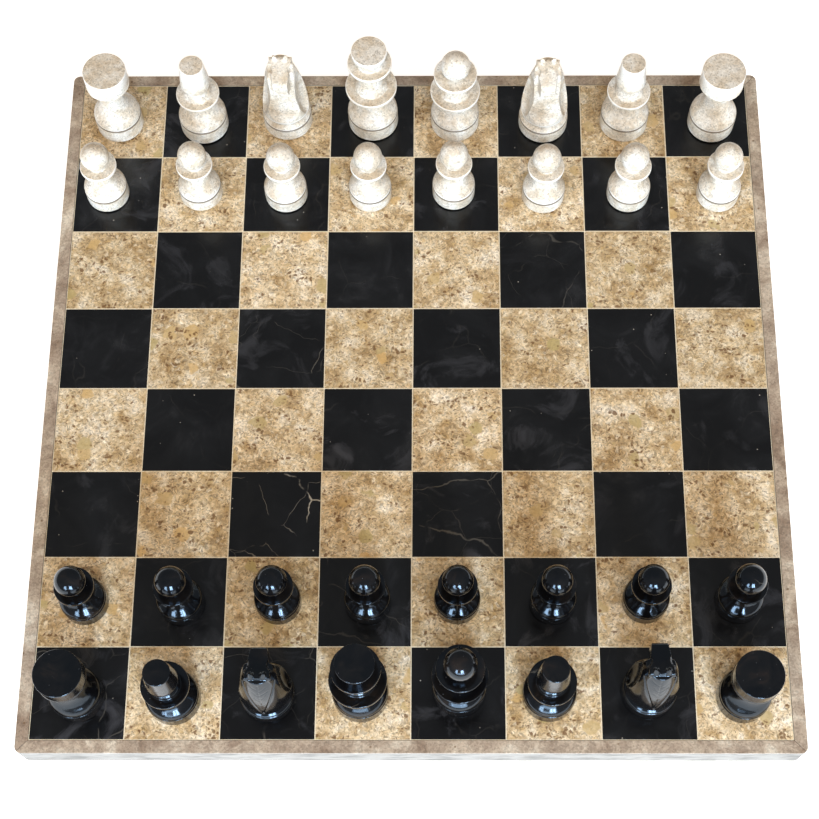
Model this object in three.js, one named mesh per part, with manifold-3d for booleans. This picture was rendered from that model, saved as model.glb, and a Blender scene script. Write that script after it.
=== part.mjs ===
// A stone chess set: a tiled board with a mitred border, and its thirty-two turned men.
// Millimetres, +Z up. The origin is the middle of the board's underside, on the table.
// White stands on the +Y side and Black on the -Y side, with file a at +X and file h at -X.
import * as THREE from "three";
import { mergeVertices } from "three/addons/utils/BufferGeometryUtils.js";
import Module from "manifold-3d";

const wasm = await Module();
wasm.setup();

// ---------------------------------------------------------------- driving dimensions
const BOARD_SIDE = 381; // a 15 inch board
const SQUARE = 46; // pitch of the playing squares
const JOINT = 0.4; // width of the joint between two tiles
const TILE_THICK = 8;
const BOARD_THICK = 19;
const PAD_THICK = 1.5; // felt pad under each corner
const PAD_RADIUS = 11;
const PAD_INSET = 150; // pad centres from the middle of the board
const GAP = 0.3; // clearance between pieces that touch
const CORNER_ROUND = 3.5; // outer upright corners of the border
const EDGE_BREAK = 0.6; // small chamfer along the border's top edge

const FIELD = 8 * SQUARE;
const BOARD_TOP = PAD_THICK + BOARD_THICK;
const STANDING = BOARD_TOP + GAP; // height at which every man's foot stands

// Tiles of one colour are joined corner to corner along a diagonal by a narrow neck,
// and the tiles that the neck crosses have that corner cut back.
const NECK_HALF = 0.65;
const CORNER_CUT = NECK_HALF + GAP;

const MAN_SIDES = 14; // facets round the large men
const PAWN_SIDES = 12;
const DRUM_TOP = 11; // top of the upright foot, its felt disc included
const PAWN_DRUM_TOP = 9.8;

const STONE = {
  cream: { color: 0xe8dcc6, roughness: 0.3, metalness: 0 },
  black: { color: 0x121214, roughness: 0.12, metalness: 0 },
  coral: { color: 0xcbb088, roughness: 0.35, metalness: 0 },
  border: { color: 0xc0a07c, roughness: 0.4, metalness: 0 },
  backing: { color: 0x9c9384, roughness: 0.8, metalness: 0 },
  felt: { color: 0x2c3a2c, roughness: 1, metalness: 0 },
};

const chessSet = new THREE.Group();

function addPiece(name, geometry, stone, x = 0, y = 0, z = 0, turn = 0) {
  const mesh = new THREE.Mesh(geometry, new THREE.MeshStandardMaterial(STONE[stone]));
  mesh.name = name;
  mesh.position.set(x, y, z);
  mesh.rotation.z = turn;
  chessSet.add(mesh);
}

// ---------------------------------------------------------------- solids and cuts
function toSolid(geometry) {
  const plain = geometry.clone();
  plain.deleteAttribute("normal");
  plain.deleteAttribute("uv");
  const merged = mergeVertices(plain, 1e-4);
  return new wasm.Manifold(
    new wasm.Mesh({
      numProp: 3,
      vertProperties: new Float32Array(merged.attributes.position.array),
      triVerts: new Uint32Array(merged.index.array),
    }),
  );
}

function toGeometry(solid) {
  const mesh = solid.getMesh();
  const geometry = new THREE.BufferGeometry();
  geometry.setAttribute("position", new THREE.BufferAttribute(mesh.vertProperties, 3));
  geometry.setIndex(new THREE.BufferAttribute(mesh.triVerts, 1));
  return geometry;
}

// Stands an outline up: its points are (across, height) and it runs "depth" along X.
function uprightSlab(points, depth) {
  const outline = new THREE.Shape(points.map(([across, height]) => new THREE.Vector2(across, height)));
  const slab = new THREE.ExtrudeGeometry(outline, { depth, bevelEnabled: false });
  slab.translate(0, 0, -depth / 2);
  slab.rotateX(Math.PI / 2);
  slab.rotateZ(Math.PI / 2);
  return slab;
}

// ---------------------------------------------------------------- the board
function outlineSolid(points, low, high) {
  const outline = new THREE.Shape(points.map(([x, y]) => new THREE.Vector2(x, y)));
  const solid = new THREE.ExtrudeGeometry(outline, { depth: high - low, bevelEnabled: false });
  solid.translate(0, 0, low);
  return solid;
}

function backingSlab() {
  const half = FIELD / 2 - GAP;
  const corners = [[-half, -half], [half, -half], [half, half], [-half, half]];
  return outlineSolid(corners, PAD_THICK, BOARD_TOP - TILE_THICK - GAP);
}

// The board seen from above: a square whose upright corners are rounded.
function boardPlan() {
  const centre = BOARD_SIDE / 2 - CORNER_ROUND;
  const steps = 4;
  const points = [];
  for (let corner = 0; corner < 4; corner++) {
    const middle = ((2 * corner - 1) * Math.PI) / 4;
    const x = Math.SQRT2 * centre * Math.cos(middle);
    const y = Math.SQRT2 * centre * Math.sin(middle);
    for (let step = 0; step <= steps; step++) {
      const angle = middle + (step / steps - 0.5) * (Math.PI / 2);
      points.push([x + CORNER_ROUND * Math.cos(angle), y + CORNER_ROUND * Math.sin(angle)]);
    }
  }
  return points;
}

// One border strip along the -Y side, mitred at both ends.
function borderStrip() {
  const outer = BOARD_SIDE / 2;
  const inner = FIELD / 2 + JOINT / 2;
  const section = [
    [-outer, PAD_THICK],
    [-inner, PAD_THICK],
    [-inner, BOARD_TOP],
    [-outer + EDGE_BREAK, BOARD_TOP],
    [-outer, BOARD_TOP - EDGE_BREAK],
  ];
  // Each mitre face stands half a gap off the diagonal that it shares with its neighbour.
  const setBack = (GAP / 2) * Math.SQRT2;
  const mitre = [[0, -setBack], [setBack - outer, -outer], [outer - setBack, -outer]];
  const bar = toSolid(uprightSlab(section, BOARD_SIDE));
  const wedge = toSolid(outlineSolid(mitre, 0, BOARD_TOP + 1));
  const plan = toSolid(outlineSolid(boardPlan(), 0, BOARD_TOP + 1));
  return toGeometry(bar.intersect(wedge).intersect(plan));
}

// A diagonal run of same-coloured tiles. (file, rank) is its lowest tile, counted from the
// -X, -Y corner, and the run climbs towards +X, +Y.
function tileRun(file, rank, count) {
  const half = SQUARE / 2 - JOINT / 2;
  const neck = NECK_HALF * Math.SQRT2;
  const cut = CORNER_CUT * Math.SQRT2 - JOINT;
  const upper = [];
  const lower = [];
  for (let n = 0; n < count; n++) {
    const x = (file + n - 3.5) * SQUARE;
    const y = (rank + n - 3.5) * SQUARE;
    const joinedBelow = n > 0;
    const joinedAbove = n < count - 1;
    // A side corner is cut back where another run's neck passes it, inside the field.
    const leftCut = file + n > 0 && rank + n < 7;
    const rightCut = file + n < 7 && rank + n > 0;
    upper.push(joinedBelow ? [x - half, y - half + neck] : [x - half, y - half]);
    if (leftCut) upper.push([x - half, y + half - cut], [x - half + cut, y + half]);
    else upper.push([x - half, y + half]);
    if (joinedAbove) upper.push([x + half - neck, y + half]);
    else upper.push([x + half, y + half]);
    if (joinedBelow) lower.push([x - half + neck, y - half]);
    if (rightCut) lower.push([x + half - cut, y - half], [x + half, y - half + cut]);
    else lower.push([x + half, y - half]);
    if (joinedAbove) lower.push([x + half, y + half - neck]);
  }
  return outlineSolid([...lower, ...upper.reverse()], BOARD_TOP - TILE_THICK, BOARD_TOP);
}

function squareName(file, rank) {
  return "hgfedcba"[file] + (8 - rank);
}

function buildBoard() {
  addPiece("backing_slab", backingSlab(), "backing");
  const strip = borderStrip();
  ["border_near", "border_right", "border_far", "border_left"].forEach((name, side) =>
    addPiece(name, strip, "border", 0, 0, 0, (side * Math.PI) / 2),
  );
  // Every run starts on the -X or the -Y side of the field.
  for (let start = -7; start <= 7; start++) {
    const file = Math.max(start, 0);
    const rank = Math.max(-start, 0);
    const count = 8 - Math.abs(start);
    const dark = start % 2 === 0;
    const ends = `${squareName(file, rank)}_${squareName(file + count - 1, rank + count - 1)}`;
    const name = `${dark ? "dark" : "light"}_tiles_${ends}`;
    addPiece(name, tileRun(file, rank, count), dark ? "black" : "coral");
  }
  const pad = new THREE.CylinderGeometry(PAD_RADIUS, PAD_RADIUS, PAD_THICK - GAP, 24);
  pad.rotateX(Math.PI / 2);
  for (const [name, sx, sy] of [
    ["pad_near_left", -1, -1],
    ["pad_near_right", 1, -1],
    ["pad_far_left", -1, 1],
    ["pad_far_right", 1, 1],
  ]) {
    addPiece(name, pad, "felt", sx * PAD_INSET, sy * PAD_INSET, (PAD_THICK - GAP) / 2);
  }
}

// ---------------------------------------------------------------- the turned men
// A quarter ellipse that leaves (r0, z0) upright and reaches (r1, z1) level.
function quarter(r0, z0, r1, z1, steps = 3) {
  const points = [];
  for (let step = 1; step <= steps; step++) {
    const angle = (step / steps) * (Math.PI / 2);
    points.push([r0 + (r1 - r0) * (1 - Math.cos(angle)), z0 + (z1 - z0) * Math.sin(angle)]);
  }
  return points;
}

// The upright foot, which takes in its felt disc.
function footProfile(radius, drumTop) {
  return [[0, 0], [radius, 0], [radius, drumTop]];
}

// The shoulder above the foot: it leaves the drum nearly upright, leans in halfway to level
// and flares back into the upright neck. It is one cubic sweep.
function shoulder(radius, drumTop, neckRadius, neckZ, steps = 4) {
  const rise = neckZ - drumTop;
  const sweep = new THREE.CubicBezierCurve(
    new THREE.Vector2(radius, drumTop),
    new THREE.Vector2(radius - 0.2, drumTop + 0.33 * rise),
    new THREE.Vector2(neckRadius + 1.5, drumTop + 0.25 * rise),
    new THREE.Vector2(neckRadius, neckZ),
  );
  return sweep.getPoints(steps).slice(1).map((point) => [point.x, point.y]);
}

// A thin collar between two necks, drawn from just below its rim to its flat top.
function collar(radius, low, high, neckBelow, neckAbove) {
  return [[neckBelow, low - 1.2], [radius, low], [radius, high], [neckAbove, high]];
}

// A ball on the axis, from where it leaves the collar up to its top.
function ballProfile(radius, centreZ, seatZ, steps = 4) {
  const start = -Math.asin((centreZ - seatZ) / radius);
  const points = [];
  for (let step = 1; step <= steps; step++) {
    const angle = start + ((Math.PI / 2 - start) * step) / steps;
    points.push([step === steps ? 0 : radius * Math.cos(angle), centreZ + radius * Math.sin(angle)]);
  }
  return points;
}

function turned(points, sides = MAN_SIDES) {
  const profile = points.map(([r, z]) => new THREE.Vector2(r, z));
  const solid = new THREE.LatheGeometry(profile, sides);
  solid.rotateX(Math.PI / 2);
  return toGeometry(toSolid(solid));
}

function pawn() {
  const ball = { radius: 7.5, centre: 38 };
  const collarTop = 30.1;
  return turned([
    ...footProfile(11.4, PAWN_DRUM_TOP),
    ...shoulder(11.4, PAWN_DRUM_TOP, 4.8, 22),
    ...collar(9.6, 28, collarTop, 6.6, 4.4),
    ...ballProfile(ball.radius, ball.centre, collarTop + 1.5),
  ], PAWN_SIDES);
}

function rook() {
  const height = 49;
  return turned([
    ...footProfile(12.7, DRUM_TOP),
    ...shoulder(12.7, DRUM_TOP, 6.3, 27),
    ...quarter(6.2, 30, 11.5, 38.2),
    [11.4, height - 0.5],
    [10.9, height],
    [0, height],
  ]);
}

function bishop() {
  const height = 55;
  const collarTop = 30.6;
  return turned([
    ...footProfile(13, DRUM_TOP),
    ...shoulder(13, DRUM_TOP, 5.7, 25),
    ...collar(11.5, 28.6, collarTop, 7, 6.8),
    [6.8, collarTop + 1.2],
    [5.2, 35.2],
    [7.9, 39.6],
    [6.3, height],
    [0, height],
  ]);
}

function queen() {
  const ball = { radius: 7.8, centre: 52.5 };
  const collarTop = 45.4;
  const skirtTop = 31;
  return turned([
    ...footProfile(13.1, DRUM_TOP),
    ...shoulder(13.1, DRUM_TOP, 6.3, 25),
    ...collar(13.3, 28.8, skirtTop, 8, 8),
    [5.6, 35],
    [5.2, 40],
    ...collar(11.4, 43.4, collarTop, 7, 4),
    ...ballProfile(ball.radius, ball.centre, collarTop),
  ]);
}

function king() {
  const height = 64;
  const skirtTop = 33.8;
  const collarTop = 54.2;
  return turned([
    ...footProfile(13.6, DRUM_TOP),
    ...shoulder(13.6, DRUM_TOP, 6.5, 27),
    ...collar(13.7, 31.4, skirtTop, 8.4, 8.4),
    [5.8, 38],
    [5.4, 47],
    ...collar(11.6, 52.2, collarTop, 7.2, 6.4),
    [9.3, height - 0.4],
    [8.9, height],
    [0, height],
  ]);
}

// The knight faces -Y. Its foot and bell are turned, the head is a slab cut to a horse's
// outline, and a scoop is ground out of each side of the bell. Outlines are (forward, height)
// with the nose at minus.
function knight() {
  const crown = 52;
  const bell = toSolid(turned([
    ...footProfile(13.3, PAWN_DRUM_TOP),
    ...quarter(13.3, PAWN_DRUM_TOP, 11.4, 13.6),
    [11.4, 14.4],
    [12.6, 15.6],
    [12.3, 24],
    [11, 34],
    [8.8, 44],
    [6.2, crown],
    [0, crown],
  ]));
  const reach = 15;
  const chest = [
    [reach, 0], [reach, crown + 1], [-3, crown + 1], [-6.8, 37.6], [-8.6, 30], [-11.2, 22],
    [-reach, 17], [-reach, 0],
  ];
  const head = [
    [4.6, crown], [3.4, 56.2], [1.8, 53.2], [-11.2, 49.4], [-11.7, 42], [-9.9, 39.2],
    [-6.8, 37.6], [-3, 35], [3, 35],
  ];
  const headWidth = 11;
  let solid = bell
    .intersect(toSolid(uprightSlab(chest, 2 * reach)))
    .add(toSolid(uprightSlab(head, headWidth)));
  for (const side of [-1, 1]) {
    const scoop = new THREE.SphereGeometry(1, 12, 8);
    scoop.scale(7.2, 9, 17);
    scoop.translate(side * 12.8, -3.5, 36);
    // The cheeks draw in towards the nose.
    const cheek = new THREE.BoxGeometry(6, 22, 26);
    cheek.rotateZ(side * 0.16);
    cheek.translate(side * 8.4, -9, 48);
    solid = solid.subtract(toSolid(scoop)).subtract(toSolid(cheek));
  }
  return toGeometry(solid);
}

// ---------------------------------------------------------------- setting the men out
// Back rows from -X to +X, with each man's small offset from the middle of its square.
const NEAR_ROW = [
  ["rook", "h", 0, -2], ["bishop", "g", 0.5, -3.2], ["knight", "f", 0, -1.5], ["king", "e", -1.2, -1.2],
  ["queen", "d", 0.5, 1.2], ["bishop", "c", -2.3, -1.5], ["knight", "b", 0, 0.5], ["rook", "a", -0.8, -2.4],
];
const FAR_ROW = [
  ["rook", "h", -1.2, -1.2], ["bishop", "g", -0.5, -2], ["knight", "f", -0.5, 0.5], ["king", "e", 0.5, 0.3],
  ["queen", "d", -0.6, -0.8], ["knight", "c", 1.8, -1.5], ["bishop", "b", 0.2, -1.2], ["rook", "a", 2.2, -2],
];
// The offsets of the pawns in front of them, in the same order.
const NEAR_PAWNS = [
  [0, -1], [1.5, -1.2], [3.4, -0.8], [1.5, -0.6], [-0.4, -0.6], [0.6, -0.6], [0.2, -0.3], [0, 0],
];
const FAR_PAWNS = [
  [-4.9, 0], [-0.3, 0.5], [0, -0.5], [-0.4, -0.3], [-1.4, 0.9], [1, -1.3], [0.8, -0.7], [3.4, -0.7],
];

const SHAPES = {
  pawn: pawn(), rook: rook(), bishop: bishop(), queen: queen(), king: king(), knight: knight(),
};

function setOut(side, stone, row, pawns, away, turn) {
  row.forEach(([kind, file, dx, dy], column) => {
    const x = (column - 3.5) * SQUARE;
    const backY = away * 3.5 * SQUARE;
    const pawnY = away * 2.5 * SQUARE;
    const [pawnDx, pawnDy] = pawns[column];
    addPiece(`${side}_${kind}_${file}`, SHAPES[kind], stone, x + dx, backY + dy, STANDING, turn);
    addPiece(`${side}_pawn_${file}`, SHAPES.pawn, stone, x + pawnDx, pawnY + pawnDy, STANDING);
  });
}

buildBoard();
setOut("white", "cream", FAR_ROW, FAR_PAWNS, 1, 0);
setOut("black", "black", NEAR_ROW, NEAR_PAWNS, -1, Math.PI);

export default chessSet;
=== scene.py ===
# %% [markdown]
# # A stone chess set on its tiled board
#
# The set is stone all through: a slab with sixty-four inlaid tiles and a mitred border, and thirty-two
# men turned on a lathe. The design fixes where everything stands. This lesson rebuilds every piece
# with the fine edges, grooves and stone that the eye expects, and leaves the design where it is.

# %% Load the fixed design
import math
import random

import bmesh
import bpy
import numpy as np
from mathutils import Matrix, Vector


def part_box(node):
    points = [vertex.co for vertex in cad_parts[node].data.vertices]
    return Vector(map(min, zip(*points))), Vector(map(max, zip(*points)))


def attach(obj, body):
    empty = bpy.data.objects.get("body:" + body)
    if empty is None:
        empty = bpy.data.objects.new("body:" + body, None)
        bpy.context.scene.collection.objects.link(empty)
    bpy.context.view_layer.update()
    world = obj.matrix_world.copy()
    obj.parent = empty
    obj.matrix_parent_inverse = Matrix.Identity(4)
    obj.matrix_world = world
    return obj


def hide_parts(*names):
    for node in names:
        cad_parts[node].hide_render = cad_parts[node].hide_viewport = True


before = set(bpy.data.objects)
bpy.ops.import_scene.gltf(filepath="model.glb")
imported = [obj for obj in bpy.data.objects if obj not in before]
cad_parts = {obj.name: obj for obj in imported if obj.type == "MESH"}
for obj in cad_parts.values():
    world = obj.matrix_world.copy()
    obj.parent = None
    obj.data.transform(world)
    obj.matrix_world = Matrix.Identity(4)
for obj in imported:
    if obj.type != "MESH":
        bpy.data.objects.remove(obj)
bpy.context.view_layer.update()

MM = 0.001

# %% [markdown]
# ## Sizes taken from the design
#
# A size can be typed in again or read off the model. Reading it keeps every new piece in step with the
# design, so the pitch of the squares and the height of the stone come from the longest run of tiles.

# %% Read the board's sizes
JOINT = 0.4 * MM
run_low, run_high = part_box("dark_tiles_h8_a1")
PITCH = (run_high.x - run_low.x + JOINT) / 8
FIELD = 8 * PITCH
BOARD_TOP = run_high.z
TILE_THICK = run_high.z - run_low.z
border_low, border_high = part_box("border_near")
HALF_BOARD = -border_low.y
SLAB_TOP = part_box("backing_slab")[1].z
print(f"pitch {PITCH / MM:.2f} mm, tile {TILE_THICK / MM:.1f} mm, board top {BOARD_TOP / MM:.1f} mm")

# %% [markdown]
# ## The camera
#
# A set like this is shown from high above Black's side. A camera could be aimed with a constraint, but
# a written-out frame of forward, right and up vectors is exact and stays put. The lens shift puts the
# board in the middle of the frame while the verticals keep the lean of a camera aimed nearer to White.

# %% Place the camera
AIM = Vector((0.0091, -0.0589, BOARD_TOP))
DISTANCE = 0.8143
ELEVATION = math.radians(70.18)
HEADING = math.radians(-1.05)
ROLL = math.radians(-1.01)
SENSOR_WIDTH = 36
FOCAL_LENGTH = 70.63
LENS_SHIFT = (-0.025, 0.1044)

forward = Vector((
    math.cos(ELEVATION) * math.sin(HEADING),
    math.cos(ELEVATION) * math.cos(HEADING),
    -math.sin(ELEVATION),
))
level_right = forward.cross(Vector((0, 0, 1))).normalized()
level_up = level_right.cross(forward)
right = math.cos(ROLL) * level_right + math.sin(ROLL) * level_up
up = right.cross(forward)

camera_data = bpy.data.cameras.new("view")
camera_data.sensor_width = SENSOR_WIDTH
camera_data.lens = FOCAL_LENGTH
camera_data.shift_x, camera_data.shift_y = LENS_SHIFT
camera_data.clip_start = 0.01
camera = bpy.data.objects.new("view", camera_data)
camera.matrix_world = Matrix.Translation(AIM - forward * DISTANCE) @ Matrix(
    (right, up, -forward)
).transposed().to_4x4()
bpy.context.scene.collection.objects.link(camera)
bpy.context.scene.camera = camera
print("camera at", [round(c, 3) for c in camera.location])

# %% [markdown]
# ## Small helpers for building and for finishes
#
# Every piece ends the same way: its bmesh becomes an object at the origin, with its place in its
# vertices, a finish, a body to ride on and the design nodes that it stands for. One function does it.
# Weighted normals keep flat faces flat next to small rounded edges, which matters on polished stone.

# %% Turn a bmesh into a finished piece
SHARP_FROM = math.radians(42)
FLATNESS = 60


def finish_piece(shape, name, finish, body, nodes=(), smooth=True):
    mesh = bpy.data.meshes.new(name)
    shape.to_mesh(mesh)
    shape.free()
    return finish_mesh(mesh, name, finish, body, nodes, smooth)


def finish_mesh(mesh, name, finish, body, nodes=(), smooth=True):
    mesh.name = name
    mesh.materials.append(finish)
    for face in mesh.polygons:
        face.use_smooth = smooth
    if smooth:
        mesh.set_sharp_from_angle(angle=SHARP_FROM)
    piece = bpy.data.objects.new(name, mesh)
    bpy.context.scene.collection.objects.link(piece)
    if smooth:
        shading = piece.modifiers.new("Flat faces stay flat", "WEIGHTED_NORMAL")
        shading.weight = FLATNESS
        shading.keep_sharp = True
    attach(piece, body)
    if nodes:
        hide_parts(*nodes)
    return piece


def face_outwards(shape):
    bmesh.ops.recalc_face_normals(shape, faces=shape.faces)
    if shape.calc_volume(signed=True) < 0:
        bmesh.ops.reverse_faces(shape, faces=shape.faces)


def round_edges(shape, edges, width, segments=3):
    bmesh.ops.bevel(shape, geom=edges, offset=width, offset_type="OFFSET", segments=segments,
                    profile=0.5, affect="EDGES", material=-1, clamp_overlap=True)

# %% [markdown]
# A stone finish is a graph of nodes. Written out call by call it is long, so small helpers add a node,
# a ramp, a mix, a bit of arithmetic, noise and cells. They only save typing: the graph is the same.
# Pattern sizes are given in millimetres, because a stone's grain has a real size.

# %% Helpers for node graphs
def put(tree, kind, inputs=(), **settings):
    made = tree.nodes.new(kind)
    for name, value in settings.items():
        setattr(made, name, value)
    for name, value in dict(inputs).items():
        if isinstance(value, bpy.types.NodeSocket):
            tree.links.new(value, made.inputs[name])
        else:
            made.inputs[name].default_value = value
    return made


def ramp(tree, factor, *stops):
    made = put(tree, "ShaderNodeValToRGB", {"Fac": factor})
    while len(made.color_ramp.elements) < len(stops):
        made.color_ramp.elements.new(0.5)
    for element, (place, colour) in zip(made.color_ramp.elements, stops):
        element.position = place
        element.color = (*colour, 1) if isinstance(colour, tuple) else (colour, colour, colour, 1)
    return made.outputs["Color"]


def mix(tree, amount, first, second, how="MIX"):
    made = tree.nodes.new("ShaderNodeMix")
    made.data_type = "RGBA"
    made.blend_type = how
    for index, value in ((0, amount), (6, first), (7, second)):
        if isinstance(value, bpy.types.NodeSocket):
            tree.links.new(value, made.inputs[index])
        elif isinstance(value, tuple):
            made.inputs[index].default_value = (*value, 1)
        else:
            made.inputs[index].default_value = value
    return made.outputs[2]


def maths(tree, how, first, second=0.0):
    made = put(tree, "ShaderNodeMath", operation=how)
    for index, value in enumerate((first, second)):
        if isinstance(value, bpy.types.NodeSocket):
            tree.links.new(value, made.inputs[index])
        else:
            made.inputs[index].default_value = value
    return made.outputs["Value"]


def noise(tree, where, size, detail=4.0, roughness=0.55, distortion=0.0):
    """Noise whose features are about size millimetres across."""
    made = put(tree, "ShaderNodeTexNoise", {
        "Vector": where, "Scale": 1 / (size * MM), "Detail": detail, "Roughness": roughness,
        "Distortion": distortion,
    })
    return made.outputs["Fac"]


def cells(tree, where, size):
    """Cells about size millimetres across: distance to the middle, and two values of the cell's own."""
    made = put(tree, "ShaderNodeTexVoronoi", {"Vector": where, "Scale": 1 / (size * MM)})
    own = put(tree, "ShaderNodeSeparateColor", {"Color": made.outputs["Color"]})
    return made.outputs["Distance"], own.outputs["Red"], own.outputs["Green"]


def from_mesh(tree, name, output="Fac"):
    """Reads what the piece's own mesh says under that name."""
    return put(tree, "ShaderNodeAttribute", attribute_name=name).outputs[output]


def new_finish(name):
    finish = bpy.data.materials.new(name)
    finish.use_nodes = True
    tree = finish.node_tree
    surface = tree.nodes["Principled BSDF"]
    place = put(tree, "ShaderNodeTexCoord").outputs["Object"]
    return finish, tree, surface, place


def wander(tree, where, size, reach):
    """Pushes the pattern's coordinates about, so that straight cell walls turn ragged."""
    drift = put(tree, "ShaderNodeTexNoise", {"Vector": where, "Scale": 1 / (size * MM), "Detail": 2.0})
    centred = put(tree, "ShaderNodeVectorMath", {0: drift.outputs["Color"], 1: (0.5, 0.5, 0.5)},
                  operation="SUBTRACT")
    scaled = put(tree, "ShaderNodeVectorMath", {0: centred.outputs[0], "Scale": reach * MM},
                 operation="SCALE")
    moved = put(tree, "ShaderNodeVectorMath", {0: where, 1: scaled.outputs[0]}, operation="ADD")
    return moved.outputs[0]


def stretch(tree, where, scale, turn=0.0):
    """The pattern's coordinates squeezed by scale along each axis, after a turn about Z."""
    made = put(tree, "ShaderNodeMapping", {"Vector": where, "Scale": scale, "Rotation": (0.0, 0.0, turn)})
    return made.outputs[0]


def relief(tree, surface, height, depth, strength=0.5):
    bump = put(tree, "ShaderNodeBump", {"Height": height, "Distance": depth * MM, "Strength": strength})
    tree.links.new(bump.outputs["Normal"], surface.inputs["Normal"])

# %% [markdown]
# ## Coral stone, for the light tiles and the border
#
# Coral stone is a bed of broken shell and sand. It reads at several scales at once: slow beige clouds,
# ragged fragments a few millimetres wide in ochre and cream, a few smooth pebbles, a fine sandy grain,
# and brown burrows that gather in clusters. A picture of stone would repeat from tile to tile, so the
# pattern is computed in space instead, and each tile carries its own offset into that space, as if
# sawn from another part of the block.

# %% Mix the coral stone
BURROW_BROWN = (0.15, 0.072, 0.024)


def own_block(tree, place):
    """Object coordinates moved by the piece's own offset, as a tile sawn from another block."""
    offset = from_mesh(tree, "sawn_from", "Vector")
    return put(tree, "ShaderNodeVectorMath", {0: place, 1: offset}, operation="ADD").outputs[0]


def coral_stone():
    finish, tree, surface, place = new_finish("coral_stone")
    block = own_block(tree, place)
    tone = from_mesh(tree, "tone")
    ragged = wander(tree, wander(tree, block, 6.0, 5.0), 1.5, 1.6)
    clouds = noise(tree, block, 13, 7, 0.68)
    colour = ramp(tree, clouds, (0.36, (0.40, 0.265, 0.115)), (0.46, (0.58, 0.43, 0.235)),
                  (0.53, (0.72, 0.58, 0.36)), (0.63, (0.88, 0.78, 0.59)))
    shade = ramp(tree, tone, (0.0, (0.82, 0.82, 0.86)), (1.0, (1.02, 1.05, 1.18)))
    colour = mix(tree, 1.0, colour, shade, "MULTIPLY")
    # small fragments of shell, each cell with its own tint
    distance, own = cells(tree, ragged, 2.6)[:2]
    tint = ramp(tree, own, (0.0, (0.36, 0.22, 0.085)), (0.18, (0.48, 0.34, 0.14)),
                (0.30, (0.66, 0.50, 0.28)), (0.68, (0.76, 0.61, 0.39)), (0.86, (0.92, 0.83, 0.66)))
    body = ramp(tree, distance, (0.25, 1.0), (0.60, 0.0))
    colour = mix(tree, maths(tree, "MULTIPLY", body, 0.5), colour, tint)
    # smooth pebbles, few and wide, ochre to olive
    distance, own, second = cells(tree, wander(tree, block, 7.0, 7.0), 11)
    few = ramp(tree, own, (0.72, 0.0), (0.73, 1.0))
    pebble = maths(tree, "MULTIPLY", ramp(tree, distance, (0.30, 1.0), (0.36, 0.0)), few)
    stain = ramp(tree, second, (0.0, (0.44, 0.36, 0.15)), (0.5, (0.52, 0.40, 0.20)),
                 (1.0, (0.64, 0.42, 0.17)))
    colour = mix(tree, maths(tree, "MULTIPLY", pebble, 0.75), colour, stain)
    # sand: a fine grain of darker and lighter crystals, finer and fainter inside the pebbles
    own = cells(tree, ragged, 0.75)[1]
    grain = ramp(tree, own, (0.0, 0.40), (0.3, 0.82), (0.7, 1.08), (1.0, 1.32))
    sandy = maths(tree, "SUBTRACT", 0.85, maths(tree, "MULTIPLY", pebble, 0.6))
    colour = mix(tree, sandy, colour, mix(tree, 1.0, colour, grain, "MULTIPLY"))
    # brown burrows, in clusters and streaks
    distance, own = cells(tree, ragged, 2.2)[:2]
    streaks = stretch(tree, block, (1.0, 2.2, 1.6), 0.6)
    cluster = ramp(tree, noise(tree, streaks, 15, 4, 0.6, 0.8), (0.52, 0.0), (0.57, 1.0))
    chosen = ramp(tree, own, (0.46, 0.0), (0.50, 1.0))
    dot = ramp(tree, distance, (0.34, 1.0), (0.50, 0.0))
    burrow = maths(tree, "MULTIPLY", maths(tree, "MULTIPLY", dot, chosen), cluster)
    # and a few burrows that stand alone
    distance, own = cells(tree, wander(tree, block, 1.5, 1.0), 1.7)[:2]
    lone = maths(tree, "MULTIPLY", ramp(tree, distance, (0.20, 1.0), (0.34, 0.0)),
                 ramp(tree, own, (0.86, 0.0), (0.88, 1.0)))
    burrow = maths(tree, "MAXIMUM", burrow, maths(tree, "MULTIPLY", lone, 0.8))
    colour = mix(tree, maths(tree, "MULTIPLY", burrow, 0.85), colour, BURROW_BROWN)
    tree.links.new(colour, surface.inputs["Base Color"])
    rough = maths(tree, "ADD", maths(tree, "MULTIPLY", clouds, 0.25), 0.30)
    rough = maths(tree, "ADD", rough, maths(tree, "MULTIPLY", burrow, 0.2))
    tree.links.new(rough, surface.inputs["Roughness"])
    relief(tree, surface, maths(tree, "SUBTRACT", grain, maths(tree, "MULTIPLY", burrow, 3.0)), 0.05, 0.35)
    return finish


CORAL = coral_stone()
print("finish:", CORAL.name, len(CORAL.node_tree.nodes), "nodes")

# %% [markdown]
# The border strips are cut from a closer, plainer bed of the same stone: no fragments, a tan body with
# slow clouds, a fine grain, and small scattered pits. Their upright outer faces are left as the saw made
# them, chalky and smeared with grey. Each is its own finish, so that both can be tuned apart.

# %% Mix the border stone
PIT_BROWN = (0.14, 0.08, 0.035)


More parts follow.
